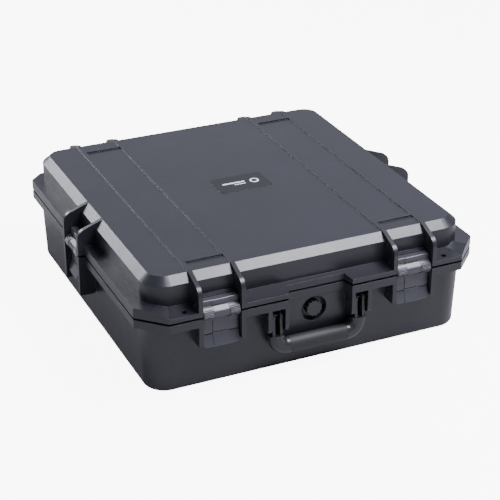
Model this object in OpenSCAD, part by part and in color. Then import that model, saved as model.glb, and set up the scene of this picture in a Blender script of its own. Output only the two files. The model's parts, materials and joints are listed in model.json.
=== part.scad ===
// Hard carrying case with a hinged lid, four press-and-pull latches, a folding
// handle, a pressure release valve and a cut foam interior.
// +X is to the right, +Y to the rear (hinge side), +Z up. The origin is the
// centre of the closed case's box, on the floor.

/* [Case] */
// Height of the lid's flat top above the floor
case_h = 188; // [184:1:196]
// Half width and half depth of the lid's flat top
top_half = 252.5; // [251:0.5:253]
// Half width of the flanges
flange_x = 285; // [283:0.5:287]
// Height of the middle of the gap between the two flanges
parting_z = 130.5; // [129:0.5:131.5]
// Moulded wall thickness
wall = 4; // [3:0.5:5]

/* [Latches] */
// Width of a latch
latch_w = 58; // [56:0.5:60]
// Distance between the two ribs that hold a latch or a hinge
rib_pitch = 68; // [66:0.5:70]
// Distance from the middle of the case to the middle of a rib pair
pair_x = 161; // [158:1:164]
// Thickness of a rib or an ear
rib_t = 7; // [5:0.5:7]

/* [Handle] */
// Overall width of the handle
handle_w = 164; // [160:1:168]
// Height of the grip bar
grip_h = 26; // [24:1:28]

/* [Hidden] */
LATCH_NAMES = ["front_left", "front_right", "left_side", "right_side"];
LATCH_PARTS = ["latch_body", "latch_button", "latch_pin", "button_pin", "button_spring"];

eps = 0.01;
arc_n = 64;              // facets of a full exact circle
plastic = [0.13, 0.13, 0.15];
soft_black = [0.09, 0.09, 0.10];
steel = [0.62, 0.63, 0.65];
foam = [0.20, 0.20, 0.22];

// Lid: flat top, chamfer, then a wall
chamfer_w = 12.9;
chamfer_h = 11.4;
lid_half = top_half + chamfer_w;
lid_r_top = 24;
lid_r_low = lid_r_top + chamfer_w;
lid_c = top_half - lid_r_top;          // axes of the lid's corners

// Base walls lean in by the draft from the flange down to the floor
base_x = 271;
base_y = 273.5;
base_r = 40;
draft = 4.6;
foot_r = 8;
foot_in = 6;                           // fillet inside the base
base_cx = base_x - base_r;             // axes of the base's corners
base_cy = base_y - base_r;

// Flanges
gap = 3.5;
base_top = parting_z - gap / 2;
lid_low = parting_z + gap / 2;
flange_front = -295.5;
flange_rear = 279;
flange_cut = 40.5;
flange_h_front = 7.75;
flange_h_side = 15.75;
flange_rise = 4;         // rise of the front flange's top towards the lid wall
skirt_h = 13;
notch_in = 48;
notch_out = 53;
notch_y = -275;
recess_depth = 20.5;     // flange cut-back behind a latch

// The plane of the ribs' outer edges, on all four sides
edge_plane = 295.5;
rib_top = 2.2;           // height of the ribs above the lid top
rib_slope = 20;
rib_r = 17;
cross_rib_y = 222;
ear_low_front = 82;
ear_low_side = 62;

// Seal ring in the lid, tongue on the base
groove_w = 6;
groove_h = 4.2;
tongue_w = 2.6;
tongue_h = gap + 1;

// Latch, in its own frame: x across, u outwards from the edge plane, z up
pivot_u = -17;
pivot_z = 145;
block_half = 6.5;
block_r = 2.5;
latch_top = pivot_z + block_half;
sweep_r = 9.1;           // clear radius in the lid around the latch pivot
pin_r = 2.5;
run = 0.05;              // radial running clearance
strip_w = 16.6;          // knurled side strips
button_gap = 0.4;
button_half = latch_w / 2 - strip_w - button_gap;
button_pin_u = -13;
button_pin_z = 103;
button_pin_r = 1.5;
coil_r = 2.1;
wire_r = 0.5;
bulge_z = 131;           // middle of the knurled bulge
bulge_r = 10;
bulge_u = -10.2;         // axis of the bulge
knurl_r = 0.75;
slit_z = 96;
latch_low = 76;
latch_corner = 8;        // radius of the latch's lower corners
catch_u = -20.6;
hook_u = -20.1;
plate_u = -19;           // rear face of the latch's back plate
plate_front = -17;
button_low = 97.4;       // opening of the button in the latch body
button_high = 143.4;
LATCH_AT = [[-pair_x, -edge_plane, 0], [pair_x, -edge_plane, 0],
            [-edge_plane, 0, -90], [edge_plane, 0, 90]];

// Hinge
hinge_y = 288.4;
hinge_r = 7.5;
hinge_pin_r = 3;
knuckle_half = 29;

// Handle
ear_in = [53, 59];
ear_out = [80.5, 87];
ear_low = 76;
handle_y = -282;
handle_z = 101;
handle_pin_r = 2.5;
grip_y = -283.6;
grip_d = 23;
grip_low = 32.5;
grip_corner = 11.3;
grip_half = 48;          // half length of the rubber sleeve
grip_skin = 3;           // thickness of the rubber sleeve
bend_in = 5;
eye_r = 8.5;
prong_w = 4.5;
prong_x = [63.4, 75.7];

// Valve, sunk into a round pocket of the front wall
valve_z = 91.5;
valve_floor_y = -261;    // floor of the pocket
valve_pocket_r = 21;
valve_cup_r = 24;
valve_bore = 9;
valve_ring_r = 16.5;
ring_t = 3.2;
oring_r = 12.5;
oring_t = 1;
knob_r = 13;
knob_front = -274;
stem_r = 3;

// Padlock holes through both flanges
padlock_x = 217;
padlock_y = -285;
padlock_r = 4;

// Nameplate
plate_w = 91;
plate_d = 58;
plate_r = 8;
plate_sink = 0.8;
plate_t = 1.2;

// Foam
foam_gap = 0.5;
floor_foam_t = 20;
foam_top = base_top - 1.5;
lid_foam_low = 146;
// Pockets in the cut foam: x, y, width, depth, corner radius, pocket floor height
POCKETS = [
    [-70, 62, 290, 230, 40, 50],
    [170, 82, 110, 190, 22, 50],
    [-85, -150, 280, 120, 14, 50],
    [160, -135, 150, 150, 18, 50]];

// ---- helpers -------------------------------------------------------------

// Rounded rectangle with true arcs, from half sizes
module rounded(hx, hy, r) {
    square([2 * (hx - r), 2 * hy], center = true);
    square([2 * hx, 2 * (hy - r)], center = true);
    for (sx = [-1, 1], sy = [-1, 1])
        translate([sx * (hx - r), sy * (hy - r)]) circle(r = r, $fn = arc_n);
}

// Solid with a rounded rectangle for its outline at every height. Its profile,
// the child, is drawn in (radius, z) from a corner's axis at (cx, cy).
module round_corners(cx, cy, z0, z1) {
    for (sx = [-1, 1], sy = [-1, 1])
        translate([sx * cx, sy * cy, 0]) rotate_extrude($fn = arc_n) children();
    for (s = [0, 1]) mirror([s, 0, 0]) rotate([90, 0, 0])
        translate([0, 0, -cy]) linear_extrude(2 * cy) translate([cx, 0]) children();
    for (s = [0, 1]) mirror([0, s, 0]) rotate([90, 0, 90])
        translate([0, 0, -cx]) linear_extrude(2 * cx) translate([cy, 0]) children();
    translate([-cx, -cy, z0]) cube([2 * cx, 2 * cy, z1 - z0]);
}

// Extrude a (y, z) outline along X, centred
module along_x(width) {
    rotate([90, 0, 90]) translate([0, 0, -width / 2]) linear_extrude(width) children();
}

// A cylinder along X, centred
module rod_x(r, length) {
    rotate([0, 90, 0]) cylinder(r = r, h = length, center = true, $fn = arc_n);
}

// A cylinder along Y, centred
module rod_y(r, length) {
    rotate([90, 0, 0]) cylinder(r = r, h = length, center = true, $fn = arc_n);
}

// Points of an arc from angle a0 to a1
function arc(c, r, a0, a1, n = 8) =
    [for (i = [0:n]) let (a = a0 + (a1 - a0) * i / n) [c[0] + r * cos(a), c[1] + r * sin(a)]];

// Move from latch coordinates to one of the four places
module at_latch(i) {
    translate([LATCH_AT[i][0], LATCH_AT[i][1], 0]) rotate([0, 0, LATCH_AT[i][2]]) children();
}

// Extrude a (u, z) outline across a latch, u outwards
module across(width) {
    rotate([90, 0, -90]) translate([0, 0, -width / 2]) linear_extrude(width) children();
}

// ---- shells --------------------------------------------------------------

// Plan of both flanges
module flange_plan() {
    c = flange_cut;
    f = flange_front;
    polygon([[-flange_x, f + c], [-flange_x + c, f], [flange_x - c, f], [flange_x, f + c],
             [flange_x, flange_rear - c], [flange_x - c, flange_rear],
             [-flange_x + c, flange_rear], [-flange_x, flange_rear - c]]);
}

// What is cut out of both flanges: handle notch and the latch recesses
module flange_cuts(z0, h) {
    translate([0, 0, z0]) linear_extrude(h)
        polygon([[-notch_out, flange_front - 1], [notch_out, flange_front - 1],
                 [notch_in, notch_y], [-notch_in, notch_y]]);
    for (i = [0:3]) at_latch(i)
        translate([-(rib_pitch - rib_t) / 2, -1, z0]) cube([rib_pitch - rib_t, recess_depth + 1, h]);
}

module padlock_holes() {
    for (sx = [-1, 1]) translate([sx * padlock_x, padlock_y, base_top - skirt_h - 1])
        cylinder(r = padlock_r, h = 60, $fn = arc_n);
}

// Base wall profile with a rounded foot: inset from the outer face, floor, fillet, top
module wall_profile(inset, low, fillet, high) {
    foot = base_r - draft - inset;
    polygon([[0, low], [foot - fillet, low], [foot, low + fillet], [base_r - inset, high], [0, high]]);
    translate([foot - fillet, low + fillet]) circle(r = fillet, $fn = arc_n);
}

module base_outer() {
    round_corners(base_cx, base_cy, 0, base_top) wall_profile(0, 0, foot_r, base_top);
}

module base_cavity() {
    round_corners(base_cx, base_cy, wall, base_top + 1)
        wall_profile(wall, wall, foot_in, base_top + 1);
}

// The latch and handle ears below the base flange
module ear(low, depth) {
    across(rib_t) polygon([[0, low], [0, base_top], [-depth, base_top],
                           [-depth, low + 5], [-depth + 4, low]]);
}

module handle_ears() {
    for (sx = [-1, 1], e = [ear_in, ear_out])
        translate([sx * (e[0] + e[1]) / 2, 0, 0])
            along_x(e[1] - e[0])
                polygon(concat([[-268, base_top], [-268, ear_low + 5], [-272, ear_low]],
                    arc([flange_front + 8, ear_low + 8], 8, 270, 180),
                    [[flange_front, base_top]]));
}

module hinge_knuckles() {
    for (sx = [-1, 1]) translate([sx * pair_x, 0, 0]) {
        translate([0, hinge_y, parting_z]) rod_x(hinge_r, 2 * knuckle_half);
        along_x(2 * knuckle_half)
            polygon([[270, parting_z - 2.5], [hinge_y - 6, parting_z - 2.5],
                     [hinge_y + 5, parting_z - 5.5], [270, 96]]);
    }
}

module base_shell() {
    color(plastic) difference() {
        union() {
            difference() {
                base_solid();
                base_cavity();
            }
            // cup of the wall around the valve
            translate([0, valve_floor_y - 2.5, valve_z]) rod_y(valve_cup_r, 13);
        }
        padlock_holes();
        for (sx = [-1, 1]) translate([sx * 70, handle_y, handle_z]) rod_x(handle_pin_r + run, 60);
        for (sx = [-1, 1]) translate([sx * pair_x, hinge_y, parting_z])
            rod_x(hinge_pin_r + run, 2 * knuckle_half + 2);
        translate([0, valve_floor_y - 10, valve_z]) rod_y(valve_pocket_r, 20);
        translate([0, valve_floor_y, valve_z]) rod_y(valve_bore, 30);
    }
}

// The base's outer form, before it is hollowed
module base_solid() {
    base_outer();
    difference() {
        translate([0, 0, base_top - skirt_h]) linear_extrude(skirt_h) flange_plan();
        flange_cuts(base_top - skirt_h - 1, skirt_h + 2);
    }
    // tongue that presses into the lid seal
    translate([0, 0, base_top - eps]) linear_extrude(tongue_h + eps) difference() {
        rounded(base_x - wall + tongue_w, base_y - wall + tongue_w, base_r - wall + tongue_w);
        rounded(base_x - wall, base_y - wall, base_r - wall);
    }
    for (i = [0:3]) at_latch(i) {
        for (s = [-1, 1]) translate([s * rib_pitch / 2, 0, 0])
            ear(i < 2 ? ear_low_front : ear_low_side, i < 2 ? 27 : 28);
        // catch for the latch hook
        across(rib_pitch) polygon([[-27, 118], [-27, 102], [catch_u, 106], [catch_u, 116]]);
    }
    handle_ears();
    hinge_knuckles();
}

// Outer side profile of a rib, from the parting plane up to the lid top
function rib_side(z_top, z_low) =
    let (drop = (edge_plane - top_half) * tan(rib_slope),
         zc = z_top - drop,
         t = rib_r * tan((90 - rib_slope) / 2))
    concat([[edge_plane, z_low]],
           arc([edge_plane - rib_r, zc - t], rib_r, 0, 90 - rib_slope, 10),
           [[top_half, z_top]]);

// A long rib over the whole lid
module long_rib() {
    side = rib_side(case_h + rib_top, lid_low);
    n = len(side);
    inner = [[top_half - 1, case_h - 1.5], [lid_half - 2, case_h - chamfer_h - 1.5],
             [lid_half - 2, lid_low]];
    along_x(rib_t) polygon(concat(side, [for (i = [n - 1:-1:0]) [-side[i][0], side[i][1]]],
        [for (i = [2:-1:0]) [-inner[i][0], inner[i][1]]], inner));
}

// A rib on a side, from the chamfer down, in latch coordinates
module short_rib() {
    across(rib_t) translate([-edge_plane, 0])
        polygon(concat(rib_side(case_h, lid_low),
            [[top_half - 1, case_h - 1.5], [lid_half - 2, case_h - chamfer_h - 1.5],
             [lid_half - 2, lid_low]]));
}

// Lid wall and chamfer profile, drawn inset from the outer faces
module lid_profile(inset, low) {
    polygon([[0, low], [lid_r_low - inset, low], [lid_r_low - inset, case_h - chamfer_h - inset / 2],
             [lid_r_top - inset / 2, case_h - inset], [0, case_h - inset]]);
}

module lid_outer() {
    round_corners(lid_c, lid_c, lid_low, case_h) lid_profile(0, lid_low);
}

module lid_cavity() {
    round_corners(lid_c, lid_c, lid_low - 1, case_h - wall) lid_profile(wall, lid_low - 1);
}

// Flange of the lid: low at the front and rear, raised along the sides, with a
// ramp across each corner
module lid_flange() {
    h = flange_h_front;
    intersection() {
        linear_extrude(flange_h_side) flange_plan();
        along_x(2 * flange_x) polygon([[flange_front, 0], [flange_front, h],
            [-lid_half, h + flange_rise], [lid_half, h + flange_rise],
            [flange_rear, h + 1.8], [flange_rear, 0]]);
    }
    difference() {
        linear_extrude(flange_h_side) flange_plan();
        for (sx = [-1, 1], sy = [-1, 1])
            translate([0, (sy > 0 ? flange_rear : -flange_front) * sy, flange_h_front])
                corner_ramp(sx, sy);
    }
}

// Cuts the raised flange down outside a 45 degree ramp at one corner. It is
// placed at the middle of the front or rear edge, at the low flange's height.
module corner_ramp(sx, sy) {
    run_in = flange_cut / sqrt(2);
    rise = flange_h_side - flange_h_front;
    x0 = flange_x - flange_cut;
    far = 2 * flange_x;
    mirror([sx < 0 ? 1 : 0, 0, 0]) mirror([0, sy < 0 ? 1 : 0, 0]) intersection() {
        translate([x0, 0, 0]) rotate([0, 0, -45]) rotate([90, 0, 0])
            translate([0, 0, -far / 2]) linear_extrude(far)
                polygon([[-far, 0], [0, 0], [run_in, rise], [run_in, rise + 5], [-far, rise + 5]]);
        translate([0, -far / 2, -5]) cube([far, far, 30]);
    }
}

module hinge_bosses() {
    for (sx = [-1, 1], s = [-1, 1])
        translate([sx * pair_x + s * rib_pitch / 2, hinge_y, parting_z]) {
            rod_x(hinge_r, rib_t);
            translate([-rib_t / 2, -9, 1]) cube([rib_t, 11, 20]);
        }
}

module lid_shell() {
    color(plastic) difference() {
        union() {
            lid_outer();
            difference() {
                translate([0, 0, lid_low]) lid_flange();
                flange_cuts(lid_low - 1, flange_h_side + 2);
                translate([0, 0, lid_low - 1]) linear_extrude(40)
                    rounded(lid_half - 2, lid_half - 2, lid_r_low - 2);
            }
            for (sx = [-1, 1], s = [-1, 1])
                translate([sx * pair_x + s * rib_pitch / 2, 0, 0]) long_rib();
            for (sx = [-1, 1], sy = [-1, 1])
                translate([sx * pair_x, sy * cross_rib_y, case_h + rib_top / 2 - 0.5])
                    cube([rib_pitch, rib_t - 0.5, rib_top + 1], center = true);
            for (i = [2, 3], s = [-1, 1]) at_latch(i)
                translate([s * rib_pitch / 2, 0, 0]) short_rib();
            // shelf above each flange recess, behind the latch
            for (i = [0:3]) at_latch(i)
                across(rib_pitch) polygon([[-32, lid_low], [-recess_depth, lid_low],
                                           [-recess_depth, latch_top + 0.5], [-32, latch_top + 2]]);
            hinge_bosses();
        }
        lid_cavity();
        padlock_holes();
        // groove for the seal ring
        translate([0, 0, lid_low - 1]) linear_extrude(groove_h + 1) difference() {
            rounded(base_x - wall + groove_w - 2, base_y - wall + groove_w - 2,
                    base_r - wall + groove_w - 2);
            rounded(base_x - wall - 2, base_y - wall - 2, base_r - wall - 2);
        }
        for (i = [0:3]) at_latch(i) translate([0, -pivot_u, pivot_z]) {
            rod_x(pin_r + run, rib_pitch + 2 * rib_t);
            rod_x(sweep_r, rib_pitch - rib_t);
        }
        for (sx = [-1, 1]) translate([sx * pair_x, hinge_y, parting_z])
            rod_x(hinge_pin_r + run, rib_pitch + 2 * rib_t);
        translate([0, 0, case_h - plate_sink]) linear_extrude(2)
            rounded(plate_w / 2 + 0.2, plate_d / 2 + 0.2, plate_r + 0.2);
    }
}

module lid_seal() {
    inner = base_x - wall - 1.6;
    color(soft_black) translate([0, 0, lid_low + 1.4]) linear_extrude(groove_h - 1.4) difference() {
        rounded(inner + 5.2, inner + 5.2 + base_y - base_x, base_r - wall + 3.6);
        rounded(inner, inner + base_y - base_x, base_r - wall - 1.6);
    }
}

module nameplate() {
    color(soft_black) translate([0, 0, case_h - plate_sink]) linear_extrude(plate_t)
        rounded(plate_w / 2, plate_d / 2, plate_r);
}

// ---- hinge ---------------------------------------------------------------

module hinge_pin(side) {
    color(steel) translate([side * pair_x, hinge_y, parting_z]) rod_x(hinge_pin_r, rib_pitch + rib_t);
}

// ---- foam ----------------------------------------------------------------

module base_foam_floor() {
    h = base_x - draft - wall - 2;
    color(foam) translate([0, 0, wall + 0.3]) linear_extrude(floor_foam_t)
        rounded(h - 3, h - 1, base_r - wall - 2);
}

module base_foam_insert() {
    z0 = wall + 0.3 + floor_foam_t + 0.3;
    h = base_x - draft - wall - foam_gap;
    color(foam) difference() {
        translate([0, 0, z0]) linear_extrude(foam_top - z0)
            rounded(h, h + base_y - base_x, base_r - wall - foam_gap);
        for (p = POCKETS) translate([p[0], p[1], p[5]]) linear_extrude(200)
            rounded(p[2] / 2, p[3] / 2, p[4]);
        // room for the valve nut
        translate([0, -base_y, valve_z]) cube([56, 53, 200], center = true);
    }
}

module lid_foam() {
    color(foam) round_corners(lid_c, lid_c, lid_foam_low, case_h - wall - foam_gap)
        lid_profile(wall + foam_gap, lid_foam_low);
}

// ---- handle --------------------------------------------------------------

// Cross-section of the bar: x is depth, y is the direction across the bar
module bar_section(r_in) {
    translate([r_in + grip_h / 2, 0]) rounded(grip_h / 2, grip_d / 2, grip_corner);
}

// A length of the straight bar, its section grown by a margin
module bar(length, margin) {
    rotate([90, 0, 90]) translate([grip_y, grip_low + grip_h / 2, -length / 2]) linear_extrude(length)
        rounded(grip_d / 2 + margin, grip_h / 2 + margin, grip_corner + margin);
}

module handle_frame() {
    bend_x = handle_w / 2 - grip_h - bend_in;
    bend_z = grip_low + grip_h + bend_in;
    end = bend_x - grip_half - 0.2;
    color(plastic) difference() {
        union() {
            for (s = [0, 1]) mirror([s, 0, 0]) {
                translate([bend_x, grip_y, bend_z]) rotate([90, 0, 0]) rotate([0, 0, -90])
                    rotate_extrude(angle = 90, $fn = arc_n) bar_section(bend_in);
                translate([bend_x, grip_y, bend_z]) linear_extrude(ear_low - 7 - bend_z)
                    bar_section(bend_in);
                for (x = prong_x) translate([x, 0, 0]) {
                    along_x(prong_w) polygon([[grip_y - 8, ear_low - 12], [grip_y + 8, ear_low - 12],
                        [handle_y + eye_r - 1, handle_z - 3], [handle_y - eye_r + 1, handle_z - 3]]);
                    translate([0, handle_y, handle_z]) rod_x(eye_r, prong_w);
                }
                translate([bend_x - end / 2, 0, 0]) bar(end, 0);
            }
            bar(2 * bend_x, -grip_skin);
        }
        for (sx = [-1, 1]) translate([sx * 70, handle_y, handle_z]) rod_x(handle_pin_r + run, 60);
    }
}

// Rubber sleeve around the bar
module handle_grip() {
    color(soft_black) difference() {
        bar(2 * grip_half, 0);
        bar(2 * grip_half + 2, run - grip_skin);
    }
}

module handle_pin(side) {
    color(soft_black) translate([side * (ear_in[0] + ear_out[1]) / 2, handle_y, handle_z])
        rod_x(handle_pin_r, ear_out[1] - ear_in[0]);
}

// ---- pressure release valve ------------------------------------------------

module valve_body() {
    color(soft_black) difference() {
        union() {
            translate([0, valve_floor_y - run - ring_t / 2, valve_z]) rod_y(valve_ring_r, ring_t);
            translate([0, valve_floor_y + 3.1, valve_z]) rod_y(valve_bore - 0.1, 12.2);
        }
        translate([0, valve_floor_y, valve_z]) rod_y(stem_r + run, 60);
        // groove of the O-ring, open towards the pocket floor
        translate([0, valve_floor_y, valve_z]) rotate([90, 0, 0])
            rotate_extrude($fn = arc_n) translate([oring_r - oring_t - 0.3, -1])
                square([2 * oring_t + 0.6, 3.3]);
    }
}

module valve_oring() {
    color(soft_black) translate([0, valve_floor_y - oring_t - 0.2, valve_z]) rotate([90, 0, 0])
        rotate_extrude($fn = arc_n) translate([oring_r, 0]) circle(r = oring_t, $fn = 24);
}

module valve_nut() {
    color(soft_black) translate([0, valve_floor_y + 6.7, valve_z]) rotate([90, 0, 0]) difference() {
        cylinder(r = 15, h = 5, center = true, $fn = 6);
        cylinder(r = valve_bore, h = 8, center = true, $fn = arc_n);
    }
}

// Scalloped knob on a central stem
module valve_knob() {
    back = valve_floor_y - ring_t - 0.4;
    color(soft_black) union() {
        difference() {
            translate([0, (back + knob_front) / 2, valve_z]) rod_y(knob_r, back - knob_front);
            for (a = [0:30:330]) translate([0, back, valve_z]) rotate([0, a, 0])
                translate([knob_r + 0.6, 0, 0]) rod_y(1.9, 30);
        }
        translate([0, back + 7, valve_z]) rod_y(stem_r, 15);
    }
}

// ---- latches ---------------------------------------------------------------

// Top block around the pivot with small corner arcs, as points. Its front
// stands out by a margin.
function block_points(out) =
    let (h = block_half, r = block_r, u = pivot_u, z = pivot_z)
    concat(arc([u + h + out - r, z + h - r], r, 0, 90, 6), arc([u - h + r, z + h - r], r, 90, 180, 6));

// Rear of the latch from the block down to the lip, with the hook, as points
function back_points() =
    [[pivot_u - block_half, pivot_z - 3], [plate_u, pivot_z - block_half - 1], [plate_u, 106],
     [hook_u, 105.5], [hook_u, 102], [plate_u, 99], [-16, 92], [-10.5, latch_low + 4],
     [-8, latch_low]];

// Side profile of a latch strip in (u, z): lip, slit, waist, knurled bulge, block
module strip_profile() {
    difference() {
        polygon(concat(block_points(0), back_points(),
            arc([-5.5, latch_low + 2], 2, 270, 380, 6),
            [[-7, 88], [-9.6, 95], [-10, 110], [-9.2, bulge_z - 11], [-7, bulge_z - 10]],
            arc([bulge_u, bulge_z], bulge_r, -62, 62, 14),
            [[-7.5, bulge_z + 10.2], [pivot_u + block_half, bulge_z + 11.3]]));
        translate([-15, slit_z - 0.8]) square([12, 1.6]);
    }
}

// Profile of the middle of the latch: block at the top, plate behind, lip below
module centre_profile() {
    out = 0.8;
    polygon(concat(block_points(out), back_points(),
        arc([-5.5 + out, latch_low + 2], 2, 270, 380, 6),
        [[-7 + out, 88], [-9.6 + out, 95], [-9.6 + out, button_low], [plate_front, button_low],
         [plate_front, button_high], [pivot_u + block_half + out, button_high]]));
}

// Front view of the latch, with rounded lower corners
module latch_outline() {
    w = latch_w / 2;
    c = latch_corner;
    translate([-w, latch_low + c]) square([2 * w, 100]);
    translate([c - w, latch_low - 1]) square([2 * (w - c), c + 2]);
    for (s = [-1, 1]) translate([s * (w - c), latch_low + c]) circle(r = c, $fn = arc_n);
}

module latch_body(i) {
    color(plastic) at_latch(i) difference() {
        intersection() {
            union() {
                for (s = [-1, 1]) translate([s * (latch_w - strip_w) / 2, 0, 0]) {
                    across(strip_w) strip_profile();
                    // knurl bars on the bulge
                    for (a = [-52:13:52])
                        translate([0, -bulge_u, bulge_z]) rotate([-a, 0, 0])
                            translate([0, knurl_r - bulge_r - 0.6, 0]) rotate([0, 90, 0])
                                cylinder(r = knurl_r, h = strip_w - 2, center = true, $fn = 24);
                }
                across(2 * (button_half + button_gap) + 0.2) centre_profile();
            }
            translate([0, 40, 0]) rotate([90, 0, 0]) linear_extrude(60) latch_outline();
        }
        translate([0, -pivot_u, pivot_z]) rod_x(pin_r + run, latch_w + 2);
        translate([0, -button_pin_u, button_pin_z]) rod_x(button_pin_r + run, 40);
    }
}

module latch_button(i) {
    color(plastic) at_latch(i) difference() {
        across(2 * button_half) polygon(concat(
            [[-14.6, 98.9], [-9.6, 98], [-9, 98.6], [-9, 121], [-8.4, 122], [-8.4, 123.2],
             [-7.2, 124]],
            arc([-8.6, bulge_z], 8.2, -55, 50, 12),
            [[-8.6, 141.6], [-9, 142.6], [-14.5, 142.6], [-14.5, 109], [-15.6, 107], [-15.6, 99.8]]));
        translate([0, -button_pin_u, button_pin_z]) {
            rod_x(button_pin_r + run, 30);
            // room for the spring's coil and leg
            rod_x(coil_r + wire_r + 0.4, 9);
            translate([-1.6, 0.4, 0]) cube([3.2, 4, 14]);
        }
    }
}

module latch_pin(i) {
    color(steel) at_latch(i) translate([0, -pivot_u, pivot_z]) rod_x(pin_r, rib_pitch + rib_t);
}

module button_pin(i) {
    color(steel) at_latch(i) translate([0, -button_pin_u, button_pin_z]) rod_x(button_pin_r, 36);
}

// Torsion spring around the button pin: a coil and one leg behind the button
module button_spring(i) {
    color(steel) at_latch(i) translate([0, -button_pin_u, button_pin_z]) {
        rotate([0, 90, 0]) rotate_extrude($fn = arc_n)
            for (k = [-3:3]) translate([coil_r, k * 0.9]) circle(r = wire_r, $fn = 16);
        translate([0, coil_r, 6]) cylinder(r = wire_r, h = 12, center = true, $fn = 16);
    }
}

// ---- nodes -----------------------------------------------------------------

base_shell();
lid_shell();
lid_seal();
base_foam_floor();
base_foam_insert();
lid_foam();
hinge_pin(-1);  // hinge_pin_left
hinge_pin(1);  // hinge_pin_right
handle_frame();
handle_grip();
handle_pin(-1);  // handle_pin_left
handle_pin(1);  // handle_pin_right
valve_body();
valve_oring();
valve_knob();
valve_nut();
nameplate();
for (i = [0:3]) {
    latch_body(i);
    latch_button(i);
    latch_pin(i);
    button_pin(i);
    button_spring(i);
}
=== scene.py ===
"""Looks of the drone carrying case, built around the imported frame."""

import json
from math import cos, pi, radians, sin

import bmesh
import bpy
from mathutils import Matrix, Vector


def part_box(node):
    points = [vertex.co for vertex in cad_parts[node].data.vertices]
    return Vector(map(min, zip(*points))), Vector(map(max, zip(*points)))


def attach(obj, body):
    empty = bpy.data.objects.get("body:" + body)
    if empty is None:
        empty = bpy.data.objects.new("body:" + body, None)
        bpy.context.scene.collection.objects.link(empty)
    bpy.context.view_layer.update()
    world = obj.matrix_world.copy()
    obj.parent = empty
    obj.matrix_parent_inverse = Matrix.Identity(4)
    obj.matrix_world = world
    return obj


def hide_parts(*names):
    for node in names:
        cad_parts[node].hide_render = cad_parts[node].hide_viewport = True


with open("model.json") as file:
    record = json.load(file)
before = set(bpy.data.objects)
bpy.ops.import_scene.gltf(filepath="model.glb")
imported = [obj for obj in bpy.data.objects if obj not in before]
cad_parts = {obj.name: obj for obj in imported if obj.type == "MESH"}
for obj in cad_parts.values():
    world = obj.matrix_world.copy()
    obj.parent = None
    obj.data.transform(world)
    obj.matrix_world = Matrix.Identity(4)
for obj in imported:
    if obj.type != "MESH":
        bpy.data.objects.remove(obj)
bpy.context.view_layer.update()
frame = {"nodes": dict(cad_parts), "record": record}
nodes = frame["nodes"]
scene = bpy.context.scene
MM = 0.001


# ---- camera, floor and light -------------------------------------------------

# The view: azimuth and elevation of the camera, its distance along the view
# axis, and the point of the image plane, to the right and up, that the case's
# origin falls on. Distances are in metres, the lens and sensor in millimetres.
AZIMUTH = radians(-24.4)
ELEVATION = radians(27.05)
DISTANCE = 2.537
OFFSET = (-0.0151, -0.0571)
LENS = 107.6
SENSOR = 36
CLIP_END = 50

FLOOR_SIZE = 16
FLOOR_DROP = 0.0005            # keeps the floor clear of the case's bottom
FLOOR_COLOUR = (0.5, 0.5, 0.51, 1)
FLOOR_ROUGHNESS = 0.9
FLOOR_GLOW = 8                 # emission that only camera rays see
GLOW_COLOUR = (1, 1, 1, 1)
WORLD_COLOUR = (0.84, 0.87, 1.0, 1)
WORLD_STRENGTH = 0.42

LIGHT_AIM = Vector((0, 0, 0.09))
# Name, direction seen from the case, distance, width and height, watts, colour.
# Each of the first three stands where one set of faces mirrors it towards the
# camera; the last is a weak fill.
LIGHTS = (
    ("over_front_chamfer", (0.37, -0.36, 0.86), 2.0, (1.2, 0.9), 95, (0.93, 0.93, 1)),
    ("behind_left_chamfer", (-0.40, 0.81, 0.42), 2.6, (1.0, 0.9), 42, (0.92, 0.93, 1)),
    ("behind_top", (0.37, 0.81, 0.46), 3.0, (2.4, 1.6), 6, (0.86, 0.88, 1)),
    ("left_fill", (-0.95, -0.25, 0.35), 2.6, (1.2, 1.2), 4, (1, 1, 1)),
)


def make_camera():
    right = Vector((cos(AZIMUTH), sin(AZIMUTH), 0))
    back = Vector((sin(AZIMUTH) * cos(ELEVATION), -cos(AZIMUTH) * cos(ELEVATION),
                   sin(ELEVATION)))
    up = back.cross(right)
    data = bpy.data.cameras.new("camera")
    data.lens = LENS
    data.sensor_width = SENSOR
    data.clip_end = CLIP_END
    camera = bpy.data.objects.new("camera", data)
    turn = Matrix((right, up, back)).transposed().to_4x4()
    place = back * DISTANCE - right * OFFSET[0] - up * OFFSET[1]
    camera.matrix_world = Matrix.Translation(place) @ turn
    scene.collection.objects.link(camera)
    scene.camera = camera


def softbox(name, direction, distance, size, power, colour):
    """An area light that faces the middle of the case from a direction."""
    data = bpy.data.lights.new(name, "AREA")
    data.shape = "RECTANGLE"
    data.size, data.size_y = size
    data.energy = power
    data.color = colour
    light = bpy.data.objects.new(name, data)
    way = Vector(direction).normalized()
    light.location = way * distance + LIGHT_AIM
    light.rotation_euler = way.to_track_quat("Z", "Y").to_euler()
    scene.collection.objects.link(light)


def make_floor():
    """A floor that looks white to the camera without lighting the case from below."""
    bpy.ops.mesh.primitive_plane_add(size=FLOOR_SIZE)
    floor = bpy.context.object
    floor.name = "floor"
    floor.location.z = -FLOOR_DROP
    material = bpy.data.materials.new("floor")
    material.use_nodes = True
    tree = material.node_tree
    shader = tree.nodes["Principled BSDF"]
    shader.inputs["Base Color"].default_value = FLOOR_COLOUR
    shader.inputs["Roughness"].default_value = FLOOR_ROUGHNESS
    path = tree.nodes.new("ShaderNodeLightPath")
    glow = tree.nodes.new("ShaderNodeMath")
    glow.operation = "MULTIPLY"
    glow.inputs[1].default_value = FLOOR_GLOW
    tree.links.new(path.outputs["Is Camera Ray"], glow.inputs[0])
    tree.links.new(glow.outputs["Value"], shader.inputs["Emission Strength"])
    shader.inputs["Emission Color"].default_value = GLOW_COLOUR
    floor.data.materials.append(material)


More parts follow.
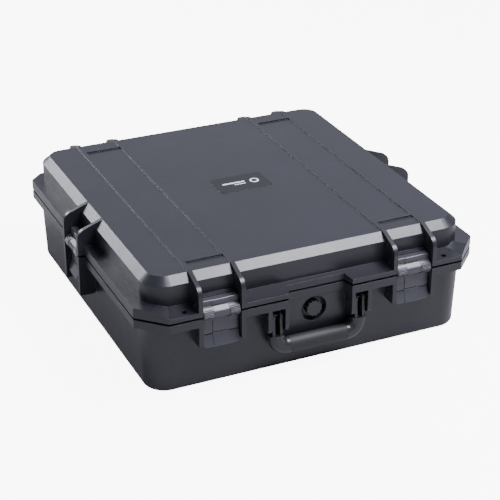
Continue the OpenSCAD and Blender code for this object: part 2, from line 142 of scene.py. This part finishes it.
def make_stage():
    make_floor()
    world = bpy.data.worlds.new("studio")
    world.use_nodes = True
    background = world.node_tree.nodes["Background"]
    background.inputs["Color"].default_value = WORLD_COLOUR
    background.inputs["Strength"].default_value = WORLD_STRENGTH
    scene.world = world
    for light in LIGHTS:
        softbox(*light)


# ---- materials ---------------------------------------------------------------

TINT = (0.93, 1.07)            # darkest and lightest share of a plastic's colour
GLOSS_SPREAD = 0.012           # how far a plastic's roughness wanders either way
GRAIN_DEPTH = 0.00006
BEVEL_SAMPLES = 8


def new_material(name, colour, roughness):
    """A material with its shader and object coordinates, ready for detail."""
    material = bpy.data.materials.new(name)
    material.use_nodes = True
    tree = material.node_tree
    shader = tree.nodes["Principled BSDF"]
    shader.inputs["Base Color"].default_value = (*colour, 1)
    shader.inputs["Roughness"].default_value = roughness
    coords = tree.nodes.new("ShaderNodeTexCoord")
    return material, tree, shader, coords


def noise(tree, coords, scale, detail=2, distortion=0):
    node = tree.nodes.new("ShaderNodeTexNoise")
    node.inputs["Scale"].default_value = scale
    node.inputs["Detail"].default_value = detail
    node.inputs["Distortion"].default_value = distortion
    tree.links.new(coords.outputs["Object"], node.inputs["Vector"])
    return node


def ramp(tree, source, low, high, stops=(0.35, 0.65)):
    """Maps a 0 to 1 value to a range of greys or colours."""
    node = tree.nodes.new("ShaderNodeValToRGB")
    for element, stop, value in zip(node.color_ramp.elements, stops, (low, high)):
        element.position = stop
        colour = value if isinstance(value, tuple) else (value, value, value)
        element.color = (*colour, 1)
    tree.links.new(source, node.inputs["Fac"])
    return node.outputs["Color"]


def tinted(tree, shader, source, colour, shares, stops=(0.35, 0.65)):
    """Varies the base colour between two shares of it, by a 0 to 1 value."""
    low, high = (tuple(c * share for c in colour) for share in shares)
    tint = ramp(tree, source, low, high, stops)
    tree.links.new(tint, shader.inputs["Base Color"])


def bump(tree, shader, height, distance, strength, below=None):
    node = tree.nodes.new("ShaderNodeBump")
    node.inputs["Distance"].default_value = distance
    node.inputs["Strength"].default_value = strength
    tree.links.new(height, node.inputs["Height"])
    if below:
        tree.links.new(below.outputs["Normal"], node.inputs["Normal"])
    tree.links.new(node.outputs["Normal"], shader.inputs["Normal"])
    return node


def plastic(name, colour, roughness, grain=1400, edge=0.0006):
    """Moulded plastic: fine spark-eroded grain, faint flow and wear marks."""
    material, tree, shader, coords = new_material(name, colour, roughness)
    shader.inputs["Specular IOR Level"].default_value = 0.5
    broad = noise(tree, coords, 7, 3)
    tinted(tree, shader, broad.outputs["Fac"], colour, TINT)
    rub = noise(tree, coords, 45, 4, 0.4)
    gloss = ramp(tree, rub.outputs["Fac"], roughness - GLOSS_SPREAD,
                 roughness + GLOSS_SPREAD)
    tree.links.new(gloss, shader.inputs["Roughness"])
    # Edges are rounded in the shading only: the mesh stays as sharp as it was
    round_edge = tree.nodes.new("ShaderNodeBevel")
    round_edge.samples = BEVEL_SAMPLES
    round_edge.inputs["Radius"].default_value = edge
    fine = noise(tree, coords, grain, 2)
    bump(tree, shader, fine.outputs["Fac"], GRAIN_DEPTH, 0.35, round_edge)
    return material


def rubber(name, colour, roughness=0.62):
    material, tree, shader, coords = new_material(name, colour, roughness)
    fine = noise(tree, coords, 900, 3)
    tinted(tree, shader, fine.outputs["Fac"], colour, (0.8, 1.25))
    bump(tree, shader, fine.outputs["Fac"], 0.0001, 0.5)
    return material


def ground_steel(name, colour):
    material, tree, shader, coords = new_material(name, colour, 0.3)
    shader.inputs["Metallic"].default_value = 1
    lines = noise(tree, coords, 600, 2)
    gloss = ramp(tree, lines.outputs["Fac"], 0.22, 0.4)
    tree.links.new(gloss, shader.inputs["Roughness"])
    bump(tree, shader, lines.outputs["Fac"], 0.00003, 0.3)
    return material


def open_foam(name, colour):
    """Open-cell foam: small pores between pale cell walls, painted darker as painted
    shade in their hollows.
    """
    material, tree, shader, coords = new_material(name, colour, 0.95)
    shader.inputs["Sheen Weight"].default_value = 0.25
    cells = tree.nodes.new("ShaderNodeTexVoronoi")
    cells.inputs["Scale"].default_value = 420
    tree.links.new(coords.outputs["Object"], cells.inputs["Vector"])
    # painted shade: the colour darkens towards the middle of each cell, where a pore
    # sinks in
    tinted(tree, shader, cells.outputs["Distance"], colour, (0.45, 1.5), (0.1, 0.6))
    broad = noise(tree, coords, 60, 3)
    low = bump(tree, shader, broad.outputs["Fac"], 0.0008, 0.4)
    bump(tree, shader, cells.outputs["Distance"], 0.0006, 0.8, low)
    return material


# Finish of each material slot of the record, and of the nameplate's marks
FINISH = {
    "case_plastic": plastic("case_plastic", (0.012, 0.012, 0.017), 0.34, edge=0.0005),
    "latch_plastic": plastic("latch_plastic", (0.045, 0.045, 0.056), 0.32,
                             grain=1800, edge=0.00012),
    "trim_plastic": plastic("trim_plastic", (0.013, 0.013, 0.016), 0.36, edge=0.0008),
    "grip_rubber": rubber("grip_rubber", (0.012, 0.012, 0.014)),
    "seal_rubber": rubber("seal_rubber", (0.010, 0.010, 0.011), 0.5),
    "plate": plastic("plate", (0.006, 0.006, 0.008), 0.42),
    "steel": ground_steel("steel", (0.55, 0.56, 0.58)),
    "dark_steel": ground_steel("dark_steel", (0.05, 0.05, 0.055)),
    "foam": open_foam("foam", (0.040, 0.040, 0.044)),
    "mark": plastic("mark", (0.72, 0.72, 0.74), 0.45),
}


def dress(obj, slot):
    """Gives an object its finish in place of what it came with."""
    obj.data.materials.clear()
    obj.data.materials.append(FINISH[slot])


# ---- CAD nodes: finish and rounded edges ---------------------------------------

# Width in mm of the rounding on a node of this name or with this ending. The
# shells and latch bodies have none: theirs is in the shading of the plastic.
EDGE = {"handle_frame": 0.8, "nameplate": 0.3, "valve_knob": 0.5,
        "valve_body": 0.5, "latch_button": 0.3, "latch_pin": 0.4,
        "hinge_pin_left": 0.5, "hinge_pin_right": 0.5}
EDGE_SEGMENTS = 3
EDGE_ANGLE = radians(30)       # edges sharper than this are rounded
FLAT_ANGLE = radians(0.6)      # faces closer than this to one plane are joined
WELD_GAP = 0.00002


def soften(obj, width):
    """Rounds a CAD node's sharp edges with modifiers only."""
    weld = obj.modifiers.new("weld", "WELD")
    weld.merge_threshold = WELD_GAP
    flat = obj.modifiers.new("flat", "DECIMATE")
    flat.decimate_type = "DISSOLVE"
    flat.angle_limit = FLAT_ANGLE
    edge = obj.modifiers.new("edge", "BEVEL")
    edge.width = width * MM
    edge.segments = EDGE_SEGMENTS
    edge.limit_method = "ANGLE"
    edge.angle_limit = EDGE_ANGLE
    edge.harden_normals = True
    edge.use_clamp_overlap = True


def finish_cad():
    for record in frame["record"]["subparts"]:
        name = record["node"]
        obj = nodes[name]
        dress(obj, record["material_slot"])
        for key, width in EDGE.items():
            if name == key or name.endswith("_" + key):
                soften(obj, width)


# ---- foam ----------------------------------------------------------------------

FOAM_VOXEL = 4.5 * MM
RELAX_SHARE = 0.5
RELAX_ROUNDS = 4
CRATE_PITCH = 46 * MM          # from peak to peak of the egg-crate lid foam
CRATE_DEPTH = 20 * MM
CRATE_STEPS = 104
LID_CORNER = 32.4 * MM         # corner radii of the lid's inside, wall and top
LID_CORNER_TOP = 21.75 * MM
LID_CHAMFER_Z = 174.35 * MM    # where the chamfer inside the lid starts
LID_CHAMFER_W = 10.65 * MM     # and how far it comes in on each side


def smooth(mesh):
    mesh.polygons.foreach_set("use_smooth", [True] * len(mesh.polygons))


def foam_piece(obj, body, node):
    """Finish, body and CAD node of one piece of foam."""
    dress(obj, "foam")
    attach(obj, body)
    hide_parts(node)


def cut_foam(name, node):
    """Foam cut to a CAD node's shape, with the edges softened as a knife would."""
    obj = bpy.data.objects.new(name, nodes[node].data.copy())
    scene.collection.objects.link(obj)
    obj.matrix_world = nodes[node].matrix_world
    remesh = obj.modifiers.new("cells", "REMESH")
    remesh.mode = "VOXEL"
    remesh.voxel_size = FOAM_VOXEL
    relax = obj.modifiers.new("relax", "SMOOTH")
    relax.factor = RELAX_SHARE
    relax.iterations = RELAX_ROUNDS
    bpy.context.view_layer.update()
    shaped = obj.evaluated_get(bpy.context.evaluated_depsgraph_get())
    done = bpy.data.meshes.new_from_object(shaped)
    obj.modifiers.clear()
    obj.data = done
    smooth(done)
    foam_piece(obj, "base", node)


def round_square(x, y, half, corner):
    """The point of a rounded square that a point of the unit square goes to."""
    px, py = x * half, y * half
    inner = half - corner
    dx, dy = abs(px) - inner, abs(py) - inner
    if dx > 0 and dy > 0:
        # the square of the corner goes to the quarter disc
        share = max(dx, dy) / Vector((dx, dy)).length
        px = (inner + dx * share) * (1 if px > 0 else -1)
        py = (inner + dy * share) * (1 if py > 0 else -1)
    return px, py


def crate_point(i, j, half, corner):
    """The point of a rounded square that a step of the crate's grid goes to."""
    return round_square(2 * i / CRATE_STEPS - 1, 2 * j / CRATE_STEPS - 1, half, corner)


def crate_wave(x, y):
    """Depth of the egg-crate surface at a point, from 0 at a peak to 1."""
    return 0.5 + 0.5 * cos(2 * pi * x / CRATE_PITCH) * cos(2 * pi * y / CRATE_PITCH)


def egg_crate():
    """Lid foam: soft peaks that point down, with a flat back and chamfered rim.

    The peaks end well above the base foam, so they press on nothing by themselves.
    """
    low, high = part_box("lid_foam")
    half = high[0]
    bm = bmesh.new()
    n = CRATE_STEPS
    grid = []
    for j in range(n + 1):
        row = []
        for i in range(n + 1):
            x, y = crate_point(i, j, half, LID_CORNER)
            row.append(bm.verts.new((x, y, low[2] + CRATE_DEPTH * crate_wave(x, y))))
        grid.append(row)
    for j in range(n):
        for i in range(n):
            bm.faces.new((grid[j][i], grid[j + 1][i],
                          grid[j + 1][i + 1], grid[j][i + 1]))
    steps = ([(i, 0) for i in range(n)] + [(n, j) for j in range(n)]
             + [(i, n) for i in range(n, 0, -1)] + [(0, j) for j in range(n, 0, -1)])
    ring = [grid[j][i] for i, j in steps]
    for size, corner, z in ((half, LID_CORNER, LID_CHAMFER_Z),
                            (half - LID_CHAMFER_W, LID_CORNER_TOP, high[2])):
        over = [bm.verts.new((*crate_point(i, j, size, corner), z)) for i, j in steps]
        for k in range(len(ring)):
            m = (k + 1) % len(ring)
            bm.faces.new((ring[k], ring[m], over[m], over[k]))
        ring = over
    bm.faces.new(ring)
    bmesh.ops.recalc_face_normals(bm, faces=bm.faces)
    mesh = bpy.data.meshes.new("lid_egg_crate_foam")
    bm.to_mesh(mesh)
    bm.free()
    smooth(mesh)
    obj = bpy.data.objects.new("lid_egg_crate_foam", mesh)
    scene.collection.objects.link(obj)
    foam_piece(obj, "lid", "lid_foam")


# ---- generic marks on the nameplate ---------------------------------------------

MARK_HALF_T = 0.12 * MM        # half the thickness: a curve is extruded both ways
MARK_SUNK = 0.05 * MM          # how far a mark goes down into the plate
RING_X = 24 * MM
RING_OUTER = 8 * MM
RING_INNER = 5 * MM
DISC_STEPS = 40
BAR_END_STEPS = 12
# Name, left and right end, place up the plate, and half width of each bar
BARS = (
    ("plate_long_bar", -30 * MM, 6 * MM, 3 * MM, 2 * MM),
    ("plate_short_bar", -12 * MM, 6 * MM, -4.5 * MM, 1.2 * MM),
)


def mark(name, outline, holes=()):
    """A thin shape on the nameplate, from lists of points: outline and holes."""
    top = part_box("nameplate")[1][2]
    curve = bpy.data.curves.new(name, "CURVE")
    curve.dimensions = "2D"
    curve.fill_mode = "BOTH"
    curve.extrude = MARK_HALF_T
    for loop in (outline, *holes):
        spline = curve.splines.new("POLY")
        spline.points.add(len(loop) - 1)
        for point, (x, y) in zip(spline.points, loop):
            point.co = (x, y, 0, 1)
        spline.use_cyclic_u = True
    source = bpy.data.objects.new(name + "_source", curve)
    mesh = bpy.data.meshes.new_from_object(source)
    bpy.data.objects.remove(source)
    obj = bpy.data.objects.new(name, mesh)
    obj.location.z = top + MARK_HALF_T - MARK_SUNK
    scene.collection.objects.link(obj)
    dress(obj, "mark")
    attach(obj, "lid")


def disc(x, r):
    """A circle about a point on the plate's long axis."""
    turns = [2 * pi * k / DISC_STEPS for k in range(DISC_STEPS)]
    return [(x + r * cos(a), r * sin(a)) for a in turns]


def bar(x0, x1, y, r):
    """A bar with round ends."""
    ends = [(x1, -pi / 2), (x0, pi / 2)]
    return [(x + r * cos(a + pi * k / BAR_END_STEPS),
             y + r * sin(a + pi * k / BAR_END_STEPS))
            for x, a in ends for k in range(BAR_END_STEPS + 1)]


def plate_marks():
    mark("plate_ring", disc(RING_X, RING_OUTER), [disc(RING_X, RING_INNER)])
    for name, x0, x1, y, r in BARS:
        mark(name, bar(x0, x1, y, r))


# ---- run ---------------------------------------------------------------------

make_camera()
make_stage()
finish_cad()
cut_foam("floor_foam", "base_foam_floor")
cut_foam("cut_foam_insert", "base_foam_insert")
egg_crate()
plate_marks()
